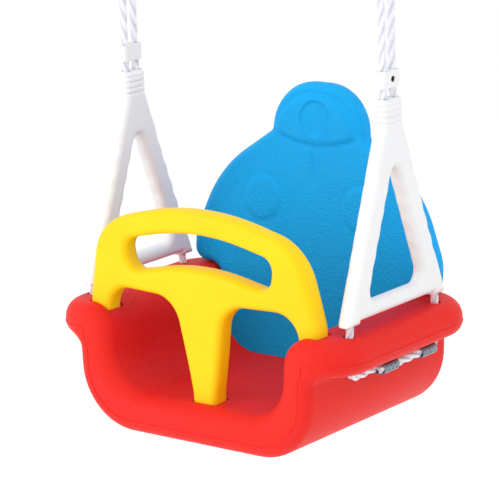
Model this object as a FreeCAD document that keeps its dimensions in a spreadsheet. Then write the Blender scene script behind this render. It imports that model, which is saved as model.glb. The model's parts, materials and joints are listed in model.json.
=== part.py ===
import FreeCAD, Part
import math
import os

# Toddler bucket swing, in millimetres.
# -Y is the front, +X is on the right of someone facing that front, and +Z is up.
# The origin is on the flat underside of the seat, midway between the four rope holes.

V = FreeCAD.Vector
doc = FreeCAD.newDocument("toddler_bucket_swing")
sheet = doc.addObject("Spreadsheet::Sheet", "Sizes")

sizes = [
    # seat
    ("seatWidth", 422.0),
    ("seatDepth", 280.0),
    ("flangeTop", 144.0),
    ("flangeEdge", 41.0),
    ("flangeFall", 3.0),
    ("floorTop", 45.0),
    ("outerWallHalf", 167.0),
    ("outerFootHalf", 163.0),
    ("innerWallHalf", 128.0),
    ("innerFootHalf", 120.0),
    ("outerBend", 74.0),
    ("innerBend", 50.0),
    ("shoulderBend", 32.0),
    ("armpitBend", 12.0),
    ("planBend", 54.0),
    ("lipUpper", 21.0),
    ("lipLower", 14.0),
    ("latchRadius", 60.0),
    ("latchRise", 2.0),
    ("latchDepth", 32.0),
    ("slotCorner", 3.0),
    # rope
    ("ropeWide", 10.0),
    ("ropeHoleX", 185.0),
    ("ropeHoleY", 85.5),
    ("ropeHoleGap", 3.0),
    ("ropeHoleWide", "=ropeWide + ropeHoleGap"),
    ("ropePitch", 18.0),
    ("ringPitch", 23.0),
    ("lapHeight", 93.0),
    ("lapGap", 0.4),
    ("lapOffset", "=(ropeWide + lapGap) / 2"),
    ("ringBarZ", 542.0),
    # bar across the front
    ("barThick", 28.0),
    ("barY", -103.0),
    ("barTop", 279.0),
    ("barFootIn", 136.0),
    ("barFootOut", 165.0),
    ("barFootDepth", 38.0),
    ("postHalf", 17.0),
    ("postDepth", 27.0),
    ("barEdge", 9.0),
    ("slotGap", 0.6),
    ("gripHalf", 107.0),
    ("gripFall", 30.0),
    ("gripTall", 41.0),
    ("gripSag", 21.0),
    ("gripCorner", 16.0),
    # backrest
    ("backThick", 26.0),
    ("backY", 93.0),
    ("backLean", 7.0),
    ("backTop", 377.0),
    ("backHalf", 178.0),
    ("headHalf", 66.0),
    ("tongueHalf", 136.0),
    ("tongueDepth", 12.0),
    ("backEdge", 10.0),
    ("lobeGap", 1.5),
    # handles
    ("handleFoot", 154.0),
    ("handleTop", 396.0),
    ("handleThick", 21.0),
    ("handleFootHalf", 96.0),
    ("neckHalf", 17.5),
    ("neckFoot", 366.0),
    ("handleEdge", 8.0),
    ("handleBoreGap", 1.0),
    ("handleBoreWide", "=ropeWide + handleBoreGap"),
    ("handleTube", 24.0),
    ("handleBaseTall", 21.0),
    ("handleLegWide", 38.0),
    ("ribPitch", 6.5),
    ("ribGroove", 2.6),
    ("ribDepth", 1.3),
    # clamps, crimps and rings
    ("clampFoot", 408.0),
    ("clampTall", 19.0),
    ("clampThick", 15.0),
    ("clampLong", 32.0),
    ("clampBoreGap", 0.2),
    ("clampBoreWide", "=ropeWide + clampBoreGap"),
    ("screwWide", 4.0),
    ("screwHeadWide", 7.0),
    ("screwHeadTall", 2.2),
    ("screwLong", 10.5),
    ("screwSink", 3.2),
    ("screwSocket", 3.4),
    ("crimpLong", 27.0),
    ("crimpWall", 1.6),
    ("crimpGap", 0.1),
    ("crimpFrontY", -19.0),
    ("crimpRearY", 57.0),
    ("ringWire", 8.0),
    ("ringHalf", 22.0),
    ("ringRise", 12.0),
    ("ringGap", 0.08),
    ("thimbleGap", 0.3),
]
for row, (alias, value) in enumerate(sizes, 1):
    sheet.set(f"A{row}", alias)
    sheet.set(f"B{row}", str(value))
    sheet.setAlias(f"B{row}", alias)
doc.recompute()


def size(alias):
    return float(getattr(sheet, alias))


# ---- small helpers -------------------------------------------------------


def newBody(label):
    body = doc.addObject("PartDesign::Body", label)
    body.Label = label
    return body


def originPlane(body, role):
    return next(f for f in body.Origin.OriginFeatures if f.Role == role)


def newSketch(body, name, role, curves, offset=0.0):
    sketch = body.newObject("Sketcher::SketchObject", name)
    sketch.AttachmentSupport = [(originPlane(body, role), "")]
    sketch.MapMode = "FlatFace"
    sketch.AttachmentOffset = FreeCAD.Placement(V(0, 0, offset), FreeCAD.Rotation())
    sketch.addGeometry(curves, False)
    return sketch


def newFeature(body, kind, name, sketch, **sizesOf):
    feature = body.newObject(kind, name)
    feature.Profile = sketch
    for key, value in sizesOf.items():
        if isinstance(value, str) and key in ("Length", "Length2", "Angle"):
            feature.setExpression(key, value)
        else:
            setattr(feature, key, value)
    return feature


def roundCorners(corners):
    """Closed loop through (x, y, radius) corners, each rounded by a tangent arc."""
    count = len(corners)
    turns = []
    for i, (x, y, radius) in enumerate(corners):
        here = V(x, y, 0)
        before = V(corners[i - 1][0], corners[i - 1][1], 0)
        after = V(corners[(i + 1) % count][0], corners[(i + 1) % count][1], 0)
        back = (before - here).normalize()
        ahead = (after - here).normalize()
        half = back.getAngle(ahead) / 2
        reach = radius / math.tan(half)
        middle = here + (back + ahead).normalize() * (radius / math.sin(half) - radius)
        turns.append((here + back * reach, middle, here + ahead * reach, radius))
    curves = []
    for i, (start, middle, end, radius) in enumerate(turns):
        if radius > 0:
            curves.append(Part.Arc(start, middle, end))
        following = turns[(i + 1) % count][0]
        if end.distanceToPoint(following) > 1e-6:
            curves.append(Part.LineSegment(end, following))
    return curves


def mirrored(half):
    """Corners on the right followed by their mirror images on the left."""
    left = [(-x, y, r) for x, y, r in reversed(half) if x != 0]
    return half + left


def boxLoop(x0, x1, y0, y1, radius):
    return roundCorners([(x0, y0, radius), (x1, y0, radius), (x1, y1, radius), (x0, y1, radius)])


def circle(x, y, radius):
    return Part.Circle(V(x, y, 0), V(0, 0, 1), radius)


def filletEdges(body, name, feature, names, expression):
    fillet = body.newObject("PartDesign::Fillet", name)
    fillet.Base = (feature, names)
    fillet.setExpression("Radius", expression)
    doc.recompute()
    return fillet


def facesOfEdge(shape, edge):
    return [face for face in shape.Faces if any(e.isSame(edge) for e in face.Edges)]


def edgesOnEnds(shape, reach, axis):
    """Edges that lie in one of the two flat ends, at plus or minus reach along an axis."""
    names = []
    for number, edge in enumerate(shape.Edges, 1):
        box = edge.BoundBox
        low, high = (box.XMin, box.XMax) if axis == "x" else (box.YMin, box.YMax)
        if high - low < 1e-4 and abs(abs(low) - reach) < 1e-4:
            names.append(f"Edge{number}")
    return names


# ---- seat -----------------------------------------------------------------


def seatSection():
    top = size("flangeTop")
    low = top - size("flangeEdge")
    half = size("seatWidth") / 2
    return mirrored([
        (size("outerFootHalf"), 0, size("outerBend")),
        (size("outerWallHalf"), low, size("armpitBend")),
        (half, low, 0),
        (half, top - size("flangeFall"), 0),
        (size("innerWallHalf") + size("shoulderBend"), top, 60),
        (size("innerWallHalf"), top, size("shoulderBend") - 0.5),
        (size("innerFootHalf"), size("floorTop"), size("innerBend")),
    ])


def isRimFace(face, depth, width):
    surface = face.Surface
    box = face.BoundBox
    if isinstance(surface, Part.Plane):
        atEnd = box.YLength < 1e-4 and abs(abs(box.YMin) - depth / 2) < 1e-4
        atSide = box.XLength < 1e-4 and abs(abs(box.XMin) - width / 2) < 1e-4
        return atEnd or atSide
    if isinstance(surface, Part.Cylinder):
        return abs(surface.Axis.z) > 0.99
    return False


def rimEdges(shape, upper):
    """Edges between the upright rim and either the upper skin or the lower skin."""
    names = []
    for number, edge in enumerate(shape.Edges, 1):
        faces = facesOfEdge(shape, edge)
        skins = [f for f in faces if not isRimFace(f, size("seatDepth"), size("seatWidth"))]
        if len(faces) != 2 or len(skins) != 1:
            continue
        middle = edge.valueAt((edge.FirstParameter + edge.LastParameter) / 2)
        u, v = skins[0].Surface.parameter(middle)
        normal = skins[0].normalAt(u, v)
        rising = normal.z - normal.x * math.copysign(1, middle.x)
        if (rising > 0) == upper:
            names.append(f"Edge{number}")
    return names


def makeSeatShell():
    body = newBody("seat_blank")
    section = newSketch(body, "SeatSection", "XZ_Plane", roundCorners(seatSection()))
    block = newFeature(body, "PartDesign::Pad", "SeatBlock", section,
                       Length="Sizes.seatDepth", Midplane=True)
    halfX = size("seatWidth") / 2
    halfY = size("seatDepth") / 2
    around = boxLoop(-2 * halfX, 2 * halfX, -2 * halfY, 2 * halfY, 0)
    plan = newSketch(body, "SeatPlan", "XY_Plane",
                     around + boxLoop(-halfX, halfX, -halfY, halfY, size("planBend")))
    trimmed = newFeature(body, "PartDesign::Pocket", "SeatCorners", plan,
                         Type="ThroughAll", Midplane=True)
    doc.recompute()
    upper = filletEdges(body, "LipUpper", trimmed, rimEdges(trimmed.Shape, True), "Sizes.lipUpper")
    lower = filletEdges(body, "LipLower", upper, rimEdges(upper.Shape, False), "Sizes.lipLower")
    holes = newSketch(body, "RopeHoles", "XY_Plane",
                      [circle(sx * size("ropeHoleX"), sy * size("ropeHoleY"), size("ropeHoleWide") / 2)
                       for sx in (-1, 1) for sy in (-1, 1)])
    newFeature(body, "PartDesign::Pocket", "RopeHolesCut", holes, Type="ThroughAll", Midplane=True)
    gap = size("slotGap")
    halfY = size("barThick") / 2 + gap
    y0 = size("barY") - halfY
    y1 = size("barY") + halfY
    feet = []
    for side in (-1, 1):
        x0, x1 = sorted((side * (size("barFootIn") - gap), side * (size("barFootOut") + gap)))
        feet += boxLoop(x0, x1, y0, y1, size("slotCorner"))
    footSlots = newSketch(body, "FootSlots", "XY_Plane", feet,
                          offset=size("flangeTop") - size("barFootDepth") - gap)
    newFeature(body, "PartDesign::Pocket", "FootSlotsCut", footSlots, Type="ThroughAll", Reversed=True)
    postX = size("postHalf") + gap
    post = newSketch(body, "PostSlot", "XY_Plane", boxLoop(-postX, postX, y0, y1, size("slotCorner")),
                     offset=size("floorTop") - size("postDepth") - gap)
    newFeature(body, "PartDesign::Pocket", "PostSlotCut", post, Type="ThroughAll", Reversed=True)
    notch = newSketch(body, "LatchNotch", "XZ_Plane",
                      [circle(0, size("latchRise") - size("latchRadius"), size("latchRadius"))],
                      offset=size("seatDepth") / 2)
    newFeature(body, "PartDesign::Pocket", "LatchNotchCut", notch, Length="Sizes.latchDepth")
    doc.recompute()
    return body


# ---- backrest ---------------------------------------------------------------


def backOutline(grow):
    """Front outline, from the tongue in the seat up over the lobes to the round head."""
    floor = size("floorTop")
    lobe = size("flangeTop") + size("lobeGap") - floor
    half = size("backHalf")
    head = size("headHalf")
    top = size("backTop") - floor
    return mirrored([
        (size("tongueHalf") - 6 + grow, -size("tongueDepth") - grow, 56 + grow),
        (size("tongueHalf") + grow, lobe - grow, 20),
        (half + grow, lobe - grow, 17 + grow),
        (half + grow, lobe + 37, 60),
        (half - 38 + grow, lobe + 112, 160),
        (head + grow, top - 62, 8),
        (head + grow, top + grow, head - 8),
    ])


def makeBackPanel(label, grow):
    body = newBody(label)
    sketch = newSketch(body, label + "_outline", "XZ_Plane", roundCorners(backOutline(grow)))
    newFeature(body, "PartDesign::Pad", label + "_pad", sketch,
               Length=f"Sizes.backThick + {2 * grow}", Midplane=True)
    doc.recompute()
    body.Placement = FreeCAD.Placement(V(0, size("backY"), size("floorTop")),
                                       FreeCAD.Rotation(V(1, 0, 0), -size("backLean")))
    return body


def makeBackrest():
    body = makeBackPanel("backrest", 0.0)
    pad = body.Tip
    edges = edgesOnEnds(pad.Shape, size("backThick") / 2, "y")
    filletEdges(body, "BackEdge", pad, edges, "Sizes.backEdge")
    return body


def makeSeat():
    shell = makeSeatShell()
    groove = makeBackPanel("back_groove", size("slotGap"))
    seat = doc.addObject("Part::Cut", "seat")
    seat.Base = shell
    seat.Tool = groove
    seat.Label = "seat"
    return seat


# ---- bar across the front ----------------------------------------------------


def barOutline():
    footLow = size("flangeTop") - size("barFootDepth")
    postLow = size("floorTop") - size("postDepth")
    return mirrored([
        (size("postHalf"), postLow, 0),
        (size("postHalf"), size("floorTop") + 9, 60),
        (36, size("flangeTop") + 20, 34),
        (size("barFootIn"), size("flangeTop") + 22, 30),
        (size("barFootIn"), footLow, 0),
        (size("barFootOut"), footLow, 0),
        (size("barFootOut") - 1, size("flangeTop") + 8, 60),
        (size("barFootOut") - 21, size("barTop") - 36, 64),
        (0, size("barTop"), 330),
    ])


def gripSlot():
    """Long curved hand slot under the crown of the bar."""
    upper = size("barTop") - size("gripFall")
    lower = upper - size("gripTall")
    half = size("gripHalf")
    sag = size("gripSag")
    corner = size("gripCorner")
    return roundCorners(mirrored([
        (0, lower, 280),
        (half - 6, lower - sag, corner),
        (half, upper - sag - 3, corner),
        (0, upper, 300),
    ]))


def makeBar():
    body = newBody("t_bar")
    outline = newSketch(body, "BarOutline", "XZ_Plane", roundCorners(barOutline()) + gripSlot())
    pad = newFeature(body, "PartDesign::Pad", "BarPad", outline,
                     Length="Sizes.barThick", Midplane=True)
    doc.recompute()
    edges = [name for name in edgesOnEnds(pad.Shape, size("barThick") / 2, "y")
             if pad.Shape.getElement(name).BoundBox.ZLength > 0.01]
    filletEdges(body, "BarEdge", pad, edges, "Sizes.barEdge")
    body.Placement = FreeCAD.Placement(V(0, size("barY"), 0), FreeCAD.Rotation())
    return body


# ---- ropes --------------------------------------------------------------------


edgeStep = 8.5


def ropeRoute():
    """Centre line of one rope in (across, along, up), from one lapped end to the other."""
    holeY = size("ropeHoleY")
    lap = size("lapOffset")
    low = size("lapHeight")
    neckY = size("ropePitch") / 2
    topY = size("ringPitch") / 2
    bar = size("ringBarZ")
    front = [
        (0, -holeY + edgeStep, low),
        (0, -holeY, low + edgeStep),
        (0, -holeY, size("handleFoot") - 4),
        (0, -neckY - 0.6, size("neckFoot") - 20),
        (0, -neckY, size("clampFoot") - 8),
        (0, -neckY, bar - 48),
        (0, -topY, bar - 20),
        (0, -topY, bar + topY),
    ]
    rear = [(x, -y, z) for x, y, z in reversed(front)]
    startLap = [(-lap, size("crimpRearY") + 17, low), (-lap, -42, low)]
    endLap = [(lap, 42, low), (lap, size("crimpFrontY") - 17, low)]
    return startLap + front + rear + endLap


def bendRadius(back, ahead, turn):
    """A right angle is half of the rope's turn round the ring's bar, and other bends are as large as fits."""
    shorter = min(back, ahead)
    if turn > math.radians(60):
        return 0.5 * shorter
    return 0.45 * shorter / math.tan(turn / 2)


def tubePath(route, report=""):
    """Straight runs joined by tangent arcs."""
    points = [V(*p) for p in route]
    edges = []
    here = points[0]
    for i in range(1, len(points) - 1):
        back = points[i - 1] - points[i]
        ahead = points[i + 1] - points[i]
        half = back.getAngle(ahead) / 2
        turn = math.pi - 2 * half
        radius = bendRadius(back.Length, ahead.Length, turn)
        if report:
            print(f"{report}: bend {i} turns {math.degrees(turn):.0f} degrees, radius {radius:.1f}")
        back.normalize()
        ahead.normalize()
        reach = radius / math.tan(half)
        start = points[i] + back * reach
        end = points[i] + ahead * reach
        middle = points[i] + (back + ahead).normalize() * (radius / math.sin(half) - radius)
        if here.distanceToPoint(start) > 1e-6:
            edges.append(Part.LineSegment(here, start).toShape())
        edges.append(Part.Arc(start, middle, end).toShape())
        here = end
    edges.append(Part.LineSegment(here, points[-1]).toShape())
    return Part.Wire(edges)


def tube(route, wide, report=""):
    path = tubePath(route, report)
    start = path.Edges[0]
    ring = Part.Wire(Part.makeCircle(wide / 2, start.firstVertex().Point,
                                     start.tangentAt(start.FirstParameter)))
    solid = path.makePipeShell([ring], True, False)
    if report:
        section = math.pi * wide * wide / 4
        print(f"{report}: length {path.Length:.1f}, volume ratio {solid.Volume / section / path.Length:.4f}")
    return solid


def makeRope(label, side):
    """The two ropes mirror each other across the middle of the seat."""
    rope = doc.addObject("Part::Feature", label)
    rope.Label = label
    route = [(side * across, along, up) for across, along, up in ropeRoute()]
    rope.Shape = tube(route, size("ropeWide"), label)
    rope.Placement = FreeCAD.Placement(V(side * size("ropeHoleX"), 0, 0), FreeCAD.Rotation())
    return rope


# ---- handles ---------------------------------------------------------------------


def handleOutline():
    """Two leg ends that stand a little below the base bar, and a neck on top."""
    foot = size("handleFoot")
    half = size("handleFootHalf")
    neck = size("neckHalf")
    return mirrored([
        (half - size("handleTube"), foot + 4, 0),
        (half - size("handleTube"), foot, 0),
        (half, foot, 0),
        (neck, size("neckFoot"), 30),
        (neck, size("handleTop"), 2),
    ])


def handleOpening():
    foot = size("handleFoot") + size("handleBaseTall")
    half = size("handleFootHalf") - size("handleLegWide")
    return roundCorners([(-half, foot, 13), (half, foot, 13), (0, size("neckFoot") - 35, 7)])


def makeHandleBody(label):
    body = newBody(label + "_blank")
    outline = newSketch(body, label + "_outline", "YZ_Plane",
                        roundCorners(handleOutline()) + handleOpening())
    pad = newFeature(body, "PartDesign::Pad", label + "_pad", outline,
                     Length="Sizes.handleThick", Midplane=True)
    doc.recompute()
    edges = edgesOnEnds(pad.Shape, size("handleThick") / 2, "x")
    filletEdges(body, label + "_edge", pad, edges, "Sizes.handleEdge")
    far = 40
    inX = size("handleThick") / 2 - size("ribDepth")
    inY = size("neckHalf") - size("ribDepth")
    first = size("neckFoot") + 2
    ring = newSketch(body, label + "_rib", "XY_Plane",
                     boxLoop(-far, far, -far, far, 0) + boxLoop(-inX, inX, -inY, inY, 7),
                     offset=first)
    groove = newFeature(body, "PartDesign::Pocket", label + "_groove", ring,
                        Length="Sizes.ribGroove", Reversed=True)
    pattern = body.newObject("PartDesign::LinearPattern", label + "_grooves")
    pattern.Originals = [groove]
    pattern.Direction = (ring, ["N_Axis"])
    pattern.setExpression("Length", "3 * Sizes.ribPitch")
    pattern.Occurrences = 4
    body.Tip = pattern
    doc.recompute()
    return body


def makeHandle(label, side):
    body = makeHandleBody(label)
    bores = doc.addObject("Part::Feature", label + "_bores")
    route = ropeRoute()[3:8]
    shapes = [tube([(x, sign * y, z) for x, y, z in route], size("handleBoreWide"))
              for sign in (1, -1)]
    bores.Shape = shapes[0].fuse(shapes[1])
    handle = doc.addObject("Part::Cut", label)
    handle.Base = body
    handle.Tool = bores
    handle.Label = label
    handle.Placement = FreeCAD.Placement(V(side * size("ropeHoleX"), 0, 0), FreeCAD.Rotation())
    return handle


# ---- clamps and their screws --------------------------------------------------------


def makeClamp(label, side):
    body = newBody(label)
    halfX = size("clampThick") / 2
    halfY = size("clampLong") / 2
    pitch = size("ropePitch") / 2
    bore = size("clampBoreWide") / 2
    outline = newSketch(body, label + "_outline", "XY_Plane",
                        boxLoop(-halfX, halfX, -halfY, halfY, 5)
                        + [circle(0, -pitch, bore), circle(0, pitch, bore)])
    pad = newFeature(body, "PartDesign::Pad", label + "_pad", outline, Length="Sizes.clampTall")
    middle = size("clampTall") / 2
    for name, wide, depth in (("head", size("screwHeadWide") + 0.4, size("screwSink")),
                              ("shank", size("screwWide") + 0.1, size("clampThick") - 3)):
        hole = newSketch(body, f"{label}_{name}", "YZ_Plane", [circle(0, middle, wide / 2)],
                         offset=halfX)
        newFeature(body, "PartDesign::Pocket", f"{label}_{name}_cut", hole, Length=depth)
    doc.recompute()
    body.Placement = FreeCAD.Placement(
        V(side * size("ropeHoleX"), 0, size("clampFoot")),
        FreeCAD.Rotation(V(0, 0, 1), 0 if side > 0 else 180))
    return body


def makeScrew(label, side):
    """Its length runs along +z, head on top, before it is turned outwards."""
    neck = size("screwLong") - size("screwHeadTall")
    shank = doc.addObject("Part::Cylinder", label + "_shank")
    shank.setExpression("Radius", "Sizes.screwWide / 2")
    shank.setExpression("Height", "Sizes.screwLong - Sizes.screwHeadTall / 2")
    head = doc.addObject("Part::Cylinder", label + "_head")
    head.setExpression("Radius", "Sizes.screwHeadWide / 2")
    head.setExpression("Height", "Sizes.screwHeadTall")
    head.Placement = FreeCAD.Placement(V(0, 0, neck), FreeCAD.Rotation())
    joined = doc.addObject("Part::Fuse", label + "_joined")
    joined.Base = shank
    joined.Tool = head
    socket = doc.addObject("Part::Prism", label + "_socket")
    socket.Polygon = 6
    socket.setExpression("Circumradius", "Sizes.screwSocket / 2")
    socket.setExpression("Height", "2 * Sizes.screwHeadTall")
    socket.Placement = FreeCAD.Placement(V(0, 0, neck + size("screwHeadTall") / 3), FreeCAD.Rotation())
    screw = doc.addObject("Part::Cut", label)
    screw.Base = joined
    screw.Tool = socket
    screw.Label = label
    outward = FreeCAD.Rotation(V(0, 1, 0), side * 90)
    across = side * (size("ropeHoleX") + size("clampThick") / 2 - size("screwSink") - neck)
    screw.Placement = FreeCAD.Placement(
        V(across, 0, size("clampFoot") + size("clampTall") / 2), outward)
    return screw


# ---- crimps under the flanges ----------------------------------------------------------


def oval(halfX, halfZ):
    """Flat oval with round ends, wider along x than along z."""
    straight = halfX - halfZ
    return [
        Part.LineSegment(V(-straight, -halfZ, 0), V(straight, -halfZ, 0)),
        Part.Arc(V(straight, -halfZ, 0), V(halfX, 0, 0), V(straight, halfZ, 0)),
        Part.LineSegment(V(straight, halfZ, 0), V(-straight, halfZ, 0)),
        Part.Arc(V(-straight, halfZ, 0), V(-halfX, 0, 0), V(-straight, -halfZ, 0)),
    ]


def makeCrimp(label, side, y):
    body = newBody(label)
    inZ = size("ropeWide") / 2 + size("crimpGap")
    inX = size("lapOffset") + inZ
    wall = size("crimpWall")
    section = newSketch(body, label + "_section", "XZ_Plane",
                        oval(inX + wall, inZ + wall) + oval(inX, inZ))
    newFeature(body, "PartDesign::Pad", label + "_pad", section,
               Length="Sizes.crimpLong", Midplane=True)
    doc.recompute()
    body.Placement = FreeCAD.Placement(
        V(side * size("ropeHoleX"), y, size("lapHeight")), FreeCAD.Rotation())
    return body


# ---- rings and thimbles ------------------------------------------------------------------


def makeRing(label, side):
    """D-shaped wire ring whose straight bar carries the rope loop."""
    body = newBody(label)
    half = size("ringHalf")
    rise = size("ringRise") + half
    corners = [(-half, 0, 8), (half, 0, 8), (half, rise + half, half - 0.01),
               (-half, rise + half, half - 0.01)]
    spine = newSketch(body, label + "_spine", "XZ_Plane", roundCorners(corners))
    profile = newSketch(body, label + "_wire", "YZ_Plane", [circle(0, 0, size("ringWire") / 2)])
    pipe = newFeature(body, "PartDesign::AdditivePipe", label + "_pipe", profile)
    pipe.Spine = (spine, [])
    doc.recompute()
    body.Placement = FreeCAD.Placement(V(side * size("ropeHoleX"), 0, size("ringBarZ")),
                                       FreeCAD.Rotation())
    return body


def makeThimble(label, side):
    """Grooved saddle, half a turn round the ring's bar, under the rope."""
    body = newBody(label)
    inner = size("ringWire") / 2 + size("ringGap")
    groove = size("ringPitch") / 2 - size("ropeWide") / 2 - size("thimbleGap")
    wide = 7.5
    lip = groove + 3.3
    profile = newSketch(body, label + "_profile", "XZ_Plane", roundCorners([
        (-wide, inner, 0), (wide, inner, 0), (wide, lip, 0.6), (wide - 1.3, lip, 0.6),
        (3.2, groove, 1.5), (-3.2, groove, 1.5), (1.3 - wide, lip, 0.6), (-wide, lip, 0.6)]))
    turned = newFeature(body, "PartDesign::Revolution", label + "_turned", profile,
                        Angle=190.0, Midplane=True)
    turned.ReferenceAxis = (profile, ["H_Axis"])
    doc.recompute()
    body.Placement = FreeCAD.Placement(V(side * size("ropeHoleX"), 0, size("ringBarZ")),
                                       FreeCAD.Rotation())
    return body


# ---- the whole swing -------------------------------------------------------------------------

nodes = [makeSeat(), makeBackrest(), makeBar()]
for name, side in (("left", -1), ("right", 1)):
    nodes.append(makeHandle(f"handle_{name}", side))
    nodes.append(makeRope(f"rope_{name}", side))
    nodes.append(makeClamp(f"rope_clamp_{name}", side))
    nodes.append(makeScrew(f"clamp_screw_{name}", side))
    nodes.append(makeCrimp(f"crimp_front_{name}", side, size("crimpFrontY")))
    nodes.append(makeCrimp(f"crimp_rear_{name}", side, size("crimpRearY")))
    nodes.append(makeRing(f"hanging_ring_{name}", side))
    nodes.append(makeThimble(f"thimble_{name}", side))
doc.recompute()

for item in doc.Objects:
    if "Invalid" in item.State or "Error" in item.State:
        raise RuntimeError(f"{item.Label} failed: {item.State}")
os.makedirs("parts", exist_ok=True)
for node in nodes:
    shape = node.Shape
    if shape.isNull() or not shape.isValid() or not shape.Solids:
        raise RuntimeError(f"{node.Label} has no valid solid")
    shape.exportStep(f"parts/{node.Label}.step")
    box = shape.BoundBox
    print(f"{node.Label}: {len(shape.Solids)} solid, {shape.Volume / 1000:.1f} cm3, "
          f"x {box.XMin:.1f} {box.XMax:.1f}, y {box.YMin:.1f} {box.YMax:.1f}, z {box.ZMin:.1f} {box.ZMax:.1f}")
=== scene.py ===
import json
import math
import bpy
import bmesh
import numpy as np
from mathutils import Matrix, Vector


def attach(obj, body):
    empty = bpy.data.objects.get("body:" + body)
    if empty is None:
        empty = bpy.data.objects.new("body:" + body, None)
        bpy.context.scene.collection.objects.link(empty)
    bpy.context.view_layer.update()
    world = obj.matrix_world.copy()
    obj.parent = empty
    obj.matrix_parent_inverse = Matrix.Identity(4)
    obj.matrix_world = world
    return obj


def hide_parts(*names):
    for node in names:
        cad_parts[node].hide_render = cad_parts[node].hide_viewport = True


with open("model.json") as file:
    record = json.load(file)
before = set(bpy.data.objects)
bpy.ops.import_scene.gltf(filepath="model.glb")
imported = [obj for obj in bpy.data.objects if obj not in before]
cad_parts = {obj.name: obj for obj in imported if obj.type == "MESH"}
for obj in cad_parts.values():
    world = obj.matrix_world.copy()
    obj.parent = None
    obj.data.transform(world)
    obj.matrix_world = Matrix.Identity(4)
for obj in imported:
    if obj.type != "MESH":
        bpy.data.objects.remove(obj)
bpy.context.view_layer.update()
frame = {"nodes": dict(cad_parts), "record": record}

nodes = frame["nodes"]
scene = bpy.context.scene
sides = {"left": -1.0, "right": 1.0}
mm = 0.001


cameraSet = {
    "turn": 38.0,          # degrees round from the front, towards the right handle
    "rise": 14.0,          # degrees above level
    "roll": -2.0,
    "away": 3.3,
    "aim": (-12.0, 54.2),  # millimetres across and up from the point below
    "point": (0.0, 0.0, 0.144),
    "lens": 204.3,
}


def placeCamera(c):
    turn, rise, roll = (math.radians(c[k]) for k in ("turn", "rise", "roll"))
    right = Vector((math.cos(turn), math.sin(turn), 0))
    back = Vector((math.sin(turn) * math.cos(rise), -math.cos(turn) * math.cos(rise),
                   math.sin(rise)))
    up = back.cross(right)
    aim = Vector(c["point"]) + right * c["aim"][0] * mm + up * c["aim"][1] * mm
    data = bpy.data.cameras.new("camera")
    data.lens = c["lens"]
    data.sensor_width = 36
    data.clip_end = 60
    camera = bpy.data.objects.new("camera", data)
    scene.collection.objects.link(camera)
    rolledRight = right * math.cos(roll) + up * math.sin(roll)
    rolledUp = up * math.cos(roll) - right * math.sin(roll)
    turned = Matrix((rolledRight, rolledUp, back)).transposed()
    camera.matrix_world = Matrix.Translation(aim + back * c["away"]) @ turned.to_4x4()
    scene.camera = camera


placeCamera(cameraSet)
print("camera placed")


def gridFaces(rows, columns, wrapColumns=True, wrapRows=False):
    # quads between neighbouring rows and columns of a grid of points
    r = np.arange(rows if wrapRows else rows - 1)[:, None]
    c = np.arange(columns if wrapColumns else columns - 1)[None, :]
    up, along = (r + 1) % rows, (c + 1) % columns
    quads = np.stack([r * columns + c, r * columns + along,
                      up * columns + along, up * columns + c], -1)
    return quads.reshape(-1, 4)


def newPiece(name, points, faces, smooth=True):
    mesh = bpy.data.meshes.new(name)
    mesh.from_pydata(np.asarray(points, float).reshape(-1, 3).tolist(), [],
                     [list(map(int, f)) for f in faces])
    mesh.validate()
    mesh.polygons.foreach_set("use_smooth", [smooth] * len(mesh.polygons))
    mesh.update()
    piece = bpy.data.objects.new(name, mesh)
    scene.collection.objects.link(piece)
    return piece


def pointOutwards(piece):
    shape = bmesh.new()
    shape.from_mesh(piece.data)
    bmesh.ops.recalc_face_normals(shape, faces=shape.faces)
    shape.to_mesh(piece.data)
    shape.free()


def roundPath(corners, step=1.0):
    # closed line through (x, y, radius) corners, each cut by a tangent arc, sampled every step
    c = np.array(corners, float)
    parts = []
    for i in range(len(c)):
        here, before, after = c[i, :2], c[i - 1, :2], c[(i + 1) % len(c), :2]
        back, ahead = before - here, after - here
        back, ahead = back / np.hypot(*back), ahead / np.hypot(*ahead)
        half = math.acos(np.clip(back @ ahead, -1, 1)) / 2
        radius = c[i, 2]
        middle = (back + ahead) / np.hypot(*(back + ahead))
        centre = here + middle * radius / math.sin(half)
        first = here + back * radius / math.tan(half) - centre
        last = here + ahead * radius / math.tan(half) - centre
        a0 = math.atan2(first[1], first[0])
        sweep = (math.atan2(last[1], last[0]) - a0 + math.pi) % (2 * math.pi) - math.pi
        a = a0 + sweep * np.linspace(0, 1, 24)
        parts.append(centre + radius * np.stack([np.cos(a), np.sin(a)], -1))
    line = np.concatenate(parts + [parts[0][:1]])
    far = np.r_[0, np.cumsum(np.hypot(*np.diff(line, axis=0).T))]
    keep = np.r_[True, np.diff(far) > 1e-9]
    line, far = line[keep], far[keep]
    at = np.linspace(0, far[-1], max(16, int(far[-1] / step)), endpoint=False)
    return np.stack([np.interp(at, far, line[:, k]) for k in (0, 1)], -1)


def mirrored(half):
    return half + [(-x, y, r) for x, y, r in reversed(half) if x != 0]


def directions(path, closed=False):
    if closed:
        step = np.roll(path, -1, 0) - np.roll(path, 1, 0)
    else:
        step = np.gradient(path, axis=0)
    return step / np.linalg.norm(step, axis=1)[:, None]


def sweepRings(path, side, radii, angles, closed=False):
    # ring of points round each path point: the path point plus radius times a turning unit vector
    ahead = directions(path, closed)
    across = side - (side * ahead).sum(1)[:, None] * ahead
    across /= np.linalg.norm(across, axis=1)[:, None]
    over = np.cross(ahead, across)
    return (path[:, None] + radii[..., None] * (np.cos(angles)[..., None] * across[:, None]
                                                + np.sin(angles)[..., None] * over[:, None]))


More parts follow.
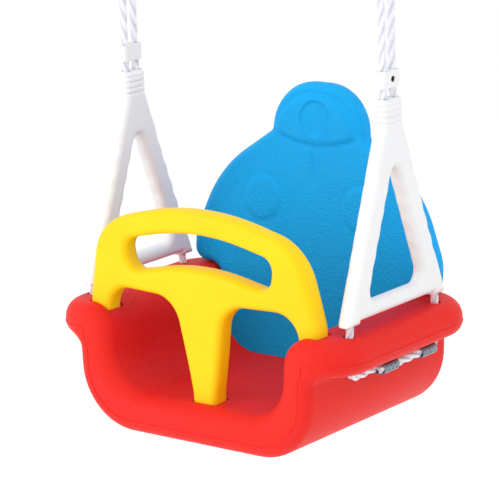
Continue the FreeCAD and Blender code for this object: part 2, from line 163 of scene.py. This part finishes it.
def closeEnds(rings):
    # fan of triangles over the first and the last ring, each round a point in its middle
    rows, columns = rings.shape[:2]
    points = np.concatenate([rings.reshape(-1, 3), rings[:1].mean(1), rings[-1:].mean(1)])
    k = np.arange(columns)
    first = [(rows * columns, b, a) for a, b in zip(k, (k + 1) % columns)]
    start = (rows - 1) * columns
    last = [(rows * columns + 1, start + a, start + b) for a, b in zip(k, (k + 1) % columns)]
    return points, list(gridFaces(rows, columns)) + first + last


ropeSet = {
    "thick": 10.0,
    "lay": 60.0,        # one whole turn of a strand
    "strand": 2.75,     # radius of one of the three strands
    "holeX": 185.0,
    "step": 1.6,
    "sides": 36,
    "slack": 0.12,      # how far the strands stay inside the rope's stated thickness
}
ropePoints = [
    (-5.2, 74, 93), (-5.2, -42, 93), (0, -77, 93), (0, -85.5, 101.5), (0, -85.5, 150), (0, -66, 199),
    (0, -9.6, 346), (0, -9, 400), (0, -9, 494), (0, -11.5, 522), (0, -11.5, 553.5),
    (0, 11.5, 553.5), (0, 11.5, 522), (0, 9, 494), (0, 9, 400), (0, 9.6, 346),
    (0, 66, 199), (0, 85.5, 150), (0, 85.5, 101.5), (0, 77, 93), (5.2, 42, 93), (5.2, -36, 93),
]


def routeOf(name, side):
    # the rope's own line: a smooth spline through the pull of its points
    curve = bpy.data.curves.new(name + "_route", "CURVE")
    curve.dimensions = "3D"
    curve.resolution_u = 24
    spline = curve.splines.new("NURBS")
    spline.points.add(len(ropePoints) - 1)
    for point, (x, y, z) in zip(spline.points, ropePoints):
        point.co = (side * (ropeSet["holeX"] + x) * mm, y * mm, z * mm, 1)
    spline.order_u = 3
    spline.use_endpoint_u = True
    holder = bpy.data.objects.new(name + "_route", curve)
    scene.collection.objects.link(holder)
    mesh = bpy.data.meshes.new_from_object(holder)
    line = np.array([v.co[:] for v in mesh.vertices])
    bpy.data.objects.remove(holder)
    far = np.r_[0, np.cumsum(np.linalg.norm(np.diff(line, axis=0), axis=1))]
    at = np.linspace(0, far[-1], int(far[-1] / ropeSet["step"] / mm))
    return np.stack([np.interp(at, far, line[:, k]) for k in range(3)], -1), far[-1]


def makeRope(sideName, side):
    # outline of three round strands that turn about the rope's line: the strand's middle stands off
    # by a, and along a ray at angle d from it the radius is a cos d + sqrt(s*s - a*a sin d sin d)
    label = "rope_" + sideName
    line, length = routeOf(label, side)
    s = ropeSet["strand"] * mm
    a = (ropeSet["thick"] / 2 - ropeSet["slack"]) * mm - s
    sideCount = ropeSet["sides"]
    around = np.linspace(0, 2 * np.pi, sideCount, endpoint=False)
    far = np.linspace(0, length, len(line))
    d = (around + np.pi / 3) % (2 * np.pi / 3) - np.pi / 3
    inside = np.maximum(s * s - (a * np.sin(d)) ** 2, 0)
    radius = a * np.cos(d) + np.sqrt(inside)
    turn = around[None, :] + side * 2 * np.pi * far[:, None] / (ropeSet["lay"] * mm)
    endPull = np.clip(np.minimum(far, length - far) / (2.2 * mm), 0, 1)
    girth = 0.55 + 0.45 * np.sqrt(endPull)      # the cut ends are drawn in
    rings = sweepRings(line, np.array([[1.0, 0, 0]]), radius[None, :] * girth[:, None], turn)
    points, faces = closeEnds(rings)
    rope = newPiece(label + "_strands", points, faces)
    pointOutwards(rope)
    # the strand's own fibres follow it, so each point keeps its place along and round the strand, and also
    # how far out it stands, which the rope's material uses to paint shade down between the strands
    tone = rope.data.attributes.new("fibre", "FLOAT_VECTOR", "POINT")
    values = np.zeros((len(points), 3))
    skin = values[:rings.shape[0] * sideCount]
    skin[:, 0] = np.tile(around, rings.shape[0])
    skin[:, 1] = np.repeat(far, sideCount) * 100
    skin[:, 2] = np.tile(radius / radius.max(), rings.shape[0])
    tone.data.foreach_set("vector", values.ravel())
    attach(rope, "swing")
    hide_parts(label)
    return rope


ropes = [makeRope(sideName, side) for sideName, side in sides.items()]
print("ropes laid")


class Wire:
    # a node's output that takes part in sums

    def __init__(self, shop, socket):
        self.shop, self.socket = shop, socket

    def join(self, operation, a, b):
        return self.shop.node("Math", {"operation": operation}, {0: a, 1: b})

    def __add__(self, other): return self.join("ADD", self, other)
    def __radd__(self, other): return self.join("ADD", other, self)
    def __mul__(self, other): return self.join("MULTIPLY", self, other)
    def __rmul__(self, other): return self.join("MULTIPLY", other, self)


class Shop:
    # one material and the nodes in it

    def __init__(self, name, **fixed):
        self.material = bpy.data.materials.new(name)
        self.material.use_nodes = True
        self.tree = self.material.node_tree
        self.shader = self.tree.nodes["Principled BSDF"]
        for key, value in fixed.items():
            self.shader.inputs[key.replace("_", " ")].default_value = value
        self.place = self.node("TexCoord", output="Object")

    def node(self, kind, settings={}, inputs={}, output=0):
        made = self.tree.nodes.new("ShaderNode" + kind)
        for key, value in settings.items():
            setattr(made, key, value)
        for key, value in inputs.items():
            if isinstance(value, Wire):
                self.tree.links.new(value.socket, made.inputs[key])
            else:
                made.inputs[key].default_value = value
        return Wire(self, made.outputs[output])

    def feed(self, key, wire):
        self.tree.links.new(wire.socket, self.shader.inputs[key])

    def noise(self, scale, detail=3.0):
        return self.node("TexNoise", {}, {"Vector": self.place, "Scale": scale, "Detail": detail}, "Fac")

    def ramp(self, value, low, high):
        return self.node("MapRange", {"interpolation_type": "SMOOTHSTEP"},
                         {0: value, 1: low, 2: high}, 0)

    def blend(self, factor, a, b):
        return self.node("Mix", {"data_type": "RGBA"}, {0: factor, 6: a, 7: b}, 2)

    def bump(self, height, distance):
        self.feed("Normal", self.node("Bump", {}, {"Height": height, "Distance": distance, "Strength": 1.0}))


def colour(red, green, blue):
    # screen values from 0 to 255 as linear light
    return tuple((((v / 255 + 0.055) / 1.055) ** 2.4 if v > 10 else v / 255 / 12.92)
                 for v in (red, green, blue)) + (1.0,)


plasticSet = {
    "seat_plastic": {"main": (234, 38, 30), "deep": (228, 31, 24), "rough": 0.42,
                       "cell": 520, "grain": 0.0009},
    "back_plastic": {"main": (0, 170, 240), "deep": (0, 163, 233), "rough": 0.46,
                       "cell": 520, "grain": 0.0011},
    "bar_plastic": {"main": (255, 214, 14), "deep": (252, 206, 8), "rough": 0.36,
                       "cell": 300, "grain": 0.00010},
    "handle_plastic": {"main": (237, 238, 239), "deep": (233, 234, 236), "rough": 0.34,
                       "cell": 240, "grain": 0.00003},
}


def mouldedPlastic(name, c):
    # satin plastic: fine pebbled skin from a cell pattern, with a slow change of tone and shine
    shop = Shop(name, IOR=1.46, Specular_IOR_Level=0.22)
    slow = shop.ramp(shop.noise(9.0), 0.35, 0.65)
    fine = shop.node("TexVoronoi", {"feature": "SMOOTH_F1"},
                     {"Vector": shop.place, "Scale": c["cell"]}, "Distance")
    speck = shop.noise(c["cell"] * 1.6, 2.0)
    shop.feed("Base Color", shop.blend(slow * 0.5 + speck * 0.5, colour(*c["deep"]), colour(*c["main"])))
    shop.feed("Roughness", c["rough"] + 0.08 * slow + 0.06 * speck)
    shop.bump(fine * 0.7 + speck * 0.5, c["grain"])
    return shop.material


def ropeFibre():
    # white filament rope: thin streaks along each strand, and painted shade, darker and bluer, down between
    # the strands
    shop = Shop("rope_fibre", Roughness=0.62, Sheen_Weight=0.25)
    fibre = shop.node("Attribute", {"attribute_name": "fibre"}, {}, "Vector")
    parts = shop.node("SeparateXYZ", {}, {0: fibre}).socket.node.outputs
    around, along, depth = (Wire(shop, part) for part in parts)
    lean = around * 9.0 + along * 3.0
    streak = shop.node("TexNoise", {"noise_dimensions": "2D"}, {
        "Vector": shop.node("CombineXYZ", {}, {0: lean, 1: along * 0.6, 2: 0.0}),
        "Scale": 3.0, "Detail": 3.0}, "Fac")
    # painted shade: down between the strands the white is turned darker and bluer (226, 227, 244)
    shaded_valley = shop.ramp(depth, 0.80, 0.93)
    white = shop.blend(shop.ramp(streak, 0.35, 0.6), colour(240, 240, 248), colour(252, 252, 254))
    shop.feed("Base Color", shop.blend(shaded_valley, colour(226, 227, 244), white))
    shop.bump(streak + shaded_valley, 0.0003)
    return shop.material


metalSet = {
    "crimp_steel": {"main": (150, 172, 186), "rough": 0.38},
    "ring_steel": {"main": (196, 200, 204), "rough": 0.28},
    "screw_steel": {"main": (72, 72, 76), "rough": 0.36},
}


def platedSteel(name, c):
    shop = Shop(name, Metallic=1.0)
    cloud = shop.noise(60.0, 4.0)
    scratch = shop.noise(900.0, 2.0)
    dark = tuple(0.8 * v for v in c["main"])
    shop.feed("Base Color", shop.blend(cloud, colour(*dark), colour(*c["main"])))
    shop.feed("Roughness", c["rough"] + 0.12 * cloud + 0.05 * scratch)
    shop.bump(scratch, 0.00002)
    return shop.material


finishes = {name: mouldedPlastic(name, c) for name, c in plasticSet.items()}
finishes["clamp_plastic"] = finishes["handle_plastic"]
finishes["rope_fibre"] = ropeFibre()
finishes.update({name: platedSteel(name, c) for name, c in metalSet.items()})
finishes["thimble_steel"] = finishes["ring_steel"]


def finish(piece, name):
    piece.data.materials.clear()
    piece.data.materials.append(finishes[name])


slotOf = {part["node"]: part["material_slot"] for part in frame["record"]["subparts"]}
for nodeName, piece in nodes.items():
    finish(piece, slotOf[nodeName])
for rope in ropes:
    finish(rope, "rope_fibre")
print("finishes made")


seamSet = {
    "foot": 163.0, "wall": 167.0, "half": 211.0, "flange": 103.0, "up": 14.0, "front": 140.0,
    "corner": 54.0,     # of the flange, seen from above
    "bend": 26,         # from the bucket's wall out to the flange
    "belly": 60,        # from the bucket's floor up to its wall
    "far": 400,         # past the flange's end, where the line is cut off
    "wide": 1.5, "proud": 0.75, "steps": 900,
}


def makeSeam(c):
    # thin bead along the rim, at one height above the underside: under the bucket, up its walls and
    # out along the flanges, with the front and rear joined round the flange's rounded corners
    up = c["up"]
    level = c["flange"] + up
    outline = roundPath([(-c["far"], level, 0), (-c["wall"] + up, level, c["bend"]),
                         (-c["foot"] + up, up, c["belly"]), (c["foot"] - up, up, c["belly"]),
                         (c["wall"] - up, level, c["bend"]), (c["far"], level, 0),
                         (c["far"], c["far"] + 100, 0), (-c["far"], c["far"] + 100, 0)], 2.0)
    inner = c["half"] - c["corner"]
    core = c["front"] - c["corner"]
    keep = (np.abs(outline[:, 0]) <= inner) & (outline[:, 1] <= level + 0.01)
    line = outline[keep]
    line = line[np.argsort(np.arctan2(line[:, 0], 300 - line[:, 1]))]
    front = np.stack([line[:, 0], np.full(len(line), -c["front"]), line[:, 1]], -1)
    q = np.linspace(-np.pi / 2, 0, 20)
    cornerFront = np.stack([inner + c["corner"] * np.cos(q), c["corner"] * np.sin(q) - core,
                            np.full(len(q), level)], -1)
    cornerRear = cornerFront[::-1] * (1, -1, 1)
    right = np.concatenate([cornerFront, cornerRear])
    path = np.concatenate([front, right, front[::-1] * (1, -1, 1), right[::-1] * (-1, 1, 1)])
    loop = np.concatenate([path, path[:1]])
    far = np.r_[0, np.cumsum(np.linalg.norm(np.diff(loop, axis=0), axis=1))]
    at = np.linspace(0, far[-1], c["steps"], endpoint=False)
    path = np.stack([np.interp(at, far, loop[:, k]) for k in range(3)], -1)
    # outward from the rim: level, away from a line that stands inside the plan's rounded corner
    out = np.zeros_like(path)
    out[:, 0] = path[:, 0] - np.clip(path[:, 0], -inner, inner)
    out[:, 1] = path[:, 1] - np.clip(path[:, 1], -core, core)
    flat = np.abs(np.abs(path[:, 1]) - c["front"]) < 1e-6
    out[flat] = np.stack([np.zeros(flat.sum()), np.sign(path[flat, 1]), np.zeros(flat.sum())], -1)
    out /= np.linalg.norm(out, axis=1)[:, None]
    ahead = directions(path, True)
    over = np.cross(ahead, out)
    a = np.linspace(0, 2 * np.pi, 10, endpoint=False)
    rings = path[:, None] + c["proud"] * np.cos(a)[None, :, None] * out[:, None] \
        + c["wide"] * np.sin(a)[None, :, None] * over[:, None]
    seam = newPiece("seat_seam", rings * mm, gridFaces(len(path), 10, wrapRows=True))
    pointOutwards(seam)
    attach(seam, "swing")
    finish(seam, "seat_plastic")
    return seam


makeSeam(seamSet)
print("seat seam made")


backSet = {
    "thick": 26.0, "place": 93.0, "lean": 7.0, "floor": 45.0, "edge": 11.0,
    "outline": [(130, -12, 56), (136, 100.5, 20), (178, 100.5, 17), (178, 137.5, 60),
                (145, 217.5, 150), (67, 271, 9), (66, 332, 58)],
    "middle": 150.0,                    # height that the plate's rings shrink towards
    "crown": (1.6, 26, 34, 60, 50),     # rise, then start and width of the slope, inwards and upwards
    "panel": (59, 47, 272, 50),         # head panel: half width, half height, middle, scale of its edge
    "sill": (257, 13, 60),              # its lower edge: height, and the rise at this far across
    "medallion": (0.0, 289.0, 21.0),
    "oval": (72.0, 188.0, 28.0, 28.0, 27),
    "crease": (3.0, 212, 248, 14),      # width, foot, top and fade of the line below the panel
    "relief": 1.35,
}


def smoothRise(value, width):
    t = np.clip(value / width * 0.5 + 0.5, 0, 1)
    return t * t * (3 - 2 * t)


def backRelief(x, z, inward):
    # height of the front skin over a flat plate, by place across, place up and distance in from the edge
    c = backSet
    rise, start, slope, foot, fade = c["crown"]
    height = rise * smoothRise(inward - start, slope) * smoothRise(z - foot, fade)
    wide, tall, middle, scale = c["panel"]
    sill, lift, across = c["sill"]
    panel = np.maximum((np.hypot(x / wide, (z - middle) / tall) - 1) * scale,
                       sill + lift * (x / across) ** 2 - z)
    height += 1.3 * smoothRise(-panel, 5) - 1.5 * np.exp(-(panel / 3.6) ** 2)
    mx, mz, mr = c["medallion"]
    disc = np.hypot(x - mx, z - mz) - mr
    height += -1.1 * smoothRise(-disc, 1.6) + 0.7 * np.exp(-((disc - 1.2) / 1.1) ** 2)
    ox, oz, ow, oh, scale = c["oval"]
    spot = (np.hypot((np.abs(x) - ox) / ow, (z - oz) / oh) - 1) * scale
    height += 1.2 * smoothRise(-spot, 7) - 0.8 * np.exp(-(spot / 4.0) ** 2)
    wide, foot, top, fade = c["crease"]
    crease = np.exp(-(x / wide) ** 2) * smoothRise(z - foot, fade) * smoothRise(top - z, fade)
    return (height - 1.1 * crease) * c["relief"]


def makeBackrest(c):
    # plate seen as rings that shrink from its outline to its middle: at distance d in from the outline
    # the half thickness is t - r + sqrt(r*r - (r-d)*(r-d)), and the relief is added on the front
    outline = roundPath(mirrored(c["outline"]), 2.1)
    middle = np.array([0, c["middle"]])
    q = np.linspace(0, 1, 104)
    shrink = 1 - (1 - np.cos(q * np.pi / 2)) ** 1.05
    flat = middle + shrink[:, None, None] * (outline - middle)[None]
    x, z = flat[..., 0], flat[..., 1]
    points = flat.reshape(-1, 2)
    inward = np.full(len(points), 1e9)
    a, b = outline, np.roll(outline, -1, 0)
    for start in range(0, len(points), 4000):
        p = points[start:start + 4000, None]
        t = np.clip(((p - a) * (b - a)).sum(-1) / ((b - a) ** 2).sum(-1), 0, 1)
        inward[start:start + 4000] = np.linalg.norm(p - a - t[..., None] * (b - a), axis=-1).min(1)
    inward = inward.reshape(x.shape)
    r = c["edge"]
    near = np.clip(r - inward, 0, r)
    half = c["thick"] / 2 - r + np.sqrt(np.maximum(r * r - near ** 2, 0))
    half[0] = c["thick"] / 2 - r
    front = -half - backRelief(x, z, inward) * smoothRise(inward - 7, 8)
    rear = half - 1.5 * smoothRise(inward - 22, 8)
    rows, columns = x.shape
    rings = np.concatenate([np.stack([x, front, z], -1)[::-1], np.stack([x, rear, z], -1)])
    y, up = rings[..., 1], rings[..., 2]
    lean = math.radians(c["lean"])
    placed = np.stack([rings[..., 0], c["place"] + y * math.cos(lean) + up * math.sin(lean),
                       c["floor"] - y * math.sin(lean) + up * math.cos(lean)], -1)
    back = newPiece("backrest_shell", placed * mm, gridFaces(2 * rows, columns))
    shape = bmesh.new()
    shape.from_mesh(back.data)
    bmesh.ops.remove_doubles(shape, verts=shape.verts, dist=2e-6)
    bmesh.ops.recalc_face_normals(shape, faces=shape.faces)
    shape.to_mesh(back.data)
    shape.free()
    back.data.polygons.foreach_set("use_smooth", [True] * len(back.data.polygons))
    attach(back, "backrest")
    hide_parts("backrest")
    finish(back, "back_plastic")
    return back


makeBackrest(backSet)
print("backrest made")


def skinOf(label, name, voxel, rounds):
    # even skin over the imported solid, its steps eased by moving each point to the mean of its neighbours
    shape = bmesh.new()
    shape.from_mesh(nodes[label].data)
    bmesh.ops.remove_doubles(shape, verts=shape.verts, dist=1e-6)
    mesh = bpy.data.meshes.new(name + "_solid")
    shape.to_mesh(mesh)
    shape.free()
    solid = bpy.data.objects.new(name + "_solid", mesh)
    scene.collection.objects.link(solid)
    even = solid.modifiers.new("even", "REMESH")
    even.mode = "VOXEL"
    even.voxel_size = voxel * mm
    made = bpy.data.meshes.new_from_object(solid.evaluated_get(bpy.context.evaluated_depsgraph_get()))
    bpy.data.objects.remove(solid)
    points = np.zeros(len(made.vertices) * 3)
    made.vertices.foreach_get("co", points)
    points = points.reshape(-1, 3) / mm
    edges = np.zeros(len(made.edges) * 2, int)
    made.edges.foreach_get("vertices", edges)
    a, b = edges.reshape(-1, 2).T
    count = np.bincount(np.r_[a, b], minlength=len(points))[:, None]
    for pull in (0.6, -0.62) * rounds:
        mean = np.stack([np.bincount(np.r_[a, b], np.r_[points[b, k], points[a, k]], len(points))
                         for k in range(3)], -1) / count
        points = points + pull * (mean - points)
    made.name = name
    made.polygons.foreach_set("use_smooth", [True] * len(made.polygons))
    piece = bpy.data.objects.new(name, made)
    scene.collection.objects.link(piece)
    return piece, points


def setPoints(piece, points):
    piece.data.vertices.foreach_set("co", (points * mm).ravel())
    piece.data.update()


barSet = {
    "voxel": 1.5, "rounds": 5, "bow": 4.5,
    "post": 55.0, "foot": 145.0, "footX": 150.0,    # where the bow starts, in the middle and at the feet
    "reach": 100.0,
}


def makeBar(c):
    # the bar bows forward above the seat: y moves by the bow times an s-curve of the height, which
    # starts at the post's foot in the middle and at the flange on the sides
    bar, p = skinOf("t_bar", "t_bar_shell", c["voxel"], c["rounds"])
    start = c["post"] + (c["foot"] - c["post"]) * np.minimum(np.abs(p[:, 0]) / c["footX"], 1)
    t = np.clip((p[:, 2] - start) / c["reach"], 0, 1)
    p[:, 1] -= c["bow"] * t * t * (3 - 2 * t)
    setPoints(bar, p)
    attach(bar, "t_bar")
    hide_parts("t_bar")
    finish(bar, "bar_plastic")


makeBar(barSet)
print("bar made")

handleSet = {
    "voxel": 0.9, "rounds": 4, "foot": 154.0, "footHalf": 96.0, "neck": 366.0, "neckHalf": 17.5,
    "tube": 31.0, "near": 1.25, "low": 190, "high": 325,    # how far from a leg's middle, and its ends
    "first": 213.0, "step": 23.2, "count": 5, "long": 7.4, "deep": 4.2, "shallow": 1.5,
}


def makeHandle(label):
    # five finger scoops down each leg: points near the leg's two edges move in towards its middle by
    # the depth times exp(-(s/long)^2), where s is how far along the leg they are from a scoop
    c = handleSet
    handle, p = skinOf(label, label + "_shell", c["voxel"], c["rounds"])
    slope = (c["footHalf"] - c["neckHalf"]) / (c["neck"] - c["foot"])
    shift = np.zeros(len(p))
    for leg in (-1, 1):
        outer = c["footHalf"] - slope * (p[:, 2] - c["foot"])
        middle = outer - c["tube"] / 2
        off = (leg * p[:, 1] - middle) * leg / (c["tube"] / 2)
        onLeg = ((leg * p[:, 1] > 0) & (np.abs(off) < c["near"])
                 & (p[:, 2] > c["low"]) & (p[:, 2] < c["high"]))
        wave = sum(np.exp(-((p[:, 2] - c["first"] - k * c["step"]) / c["long"]) ** 2)
                   for k in range(c["count"]))
        rearward = np.clip(off, 0, 1) ** 3 * c["deep"]
        forward = np.clip(-off, 0, 1) ** 3 * c["shallow"]
        shift += np.where(onLeg, wave * (forward - rearward), 0)
    p[:, 1] += shift
    setPoints(handle, p)
    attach(handle, "swing")
    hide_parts(label)
    finish(handle, "handle_plastic")


for sideName in sides:
    makeHandle("handle_" + sideName)
print("handles made")


crimpSet = {
    "at": {"front": -19.0, "rear": 57.0}, "height": 93.0, "out": 11.9,
    "mark": (2.3, 3.0, 1.1), "gap": 7.6, "wire": 0.55,      # half width, half height and corner
}


def makeMarks(sideName, side, which):
    # three raised rounded frames pressed into the outer wall of a crimp
    c = crimpSet
    wide, tall, corner = c["mark"]
    frameLine = roundPath([(-wide, -tall, corner), (wide, -tall, corner),
                           (wide, tall, corner), (-wide, tall, corner)], 0.6)
    a = np.linspace(0, 2 * np.pi, 8, endpoint=False)
    points, faces = [], []
    for k in (-1, 0, 1):
        line = np.stack([np.full(len(frameLine), side * (ropeSet["holeX"] + c["out"])),
                         c["at"][which] + k * c["gap"] + frameLine[:, 0],
                         c["height"] + frameLine[:, 1]], -1)
        rings = sweepRings(line, np.array([[1.0, 0, 0]]), np.full((len(line), 8), c["wire"]),
                           a[None, :], True)
        faces += (gridFaces(len(line), 8, wrapRows=True) + len(points) * rings.size // 3).tolist()
        points.append(rings.reshape(-1, 3))
    marks = newPiece(f"crimp_marks_{which}_{sideName}", np.concatenate(points) * mm, faces)
    pointOutwards(marks)
    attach(marks, "swing")
    finish(marks, "ring_steel")


for sideName, side in sides.items():
    for which in crimpSet["at"]:
        makeMarks(sideName, side, which)
print("crimps marked")


studioSet = {
    "floor": -0.75, "reach": 30, "world": 0.92, "glow": 0.16,
    "lamps": {"key": ((1.5, -0.6, 2.8), 1.6, 15), "fill": ((-1.6, -2.6, 1.0), 2.2, 30)},
    "target": (0, 0, 0.2),
}


def makeStudio(c):
    r, z = c["reach"], c["floor"]
    floor = newPiece("studio_floor", [(-r, -r, z), (r, -r, z), (r, r, z), (-r, r, z)],
                     [(0, 1, 2, 3)], False)
    shop = Shop("studio_white", Roughness=0.9, Emission_Color=(1, 1, 1, 1),
                Emission_Strength=c["glow"])
    shop.feed("Base Color", shop.blend(shop.noise(1.5), (0.90, 0.90, 0.90, 1), (0.93, 0.93, 0.93, 1)))
    floor.data.materials.append(shop.material)
    world = bpy.data.worlds.new("studio")
    world.use_nodes = True
    sky = world.node_tree.nodes["Background"].inputs
    sky[0].default_value = (1, 1, 1, 1)
    sky[1].default_value = c["world"]
    scene.world = world
    for name, (place, size, power) in c["lamps"].items():
        light = bpy.data.lights.new(name, "AREA")
        light.size = size
        light.energy = power
        lamp = bpy.data.objects.new(name, light)
        lamp.location = place
        lamp.rotation_euler = (Vector(c["target"]) - Vector(place)).to_track_quat("-Z", "Y").to_euler()
        scene.collection.objects.link(lamp)
    scene.view_settings.view_transform = "Standard"


makeStudio(studioSet)
print("studio made")
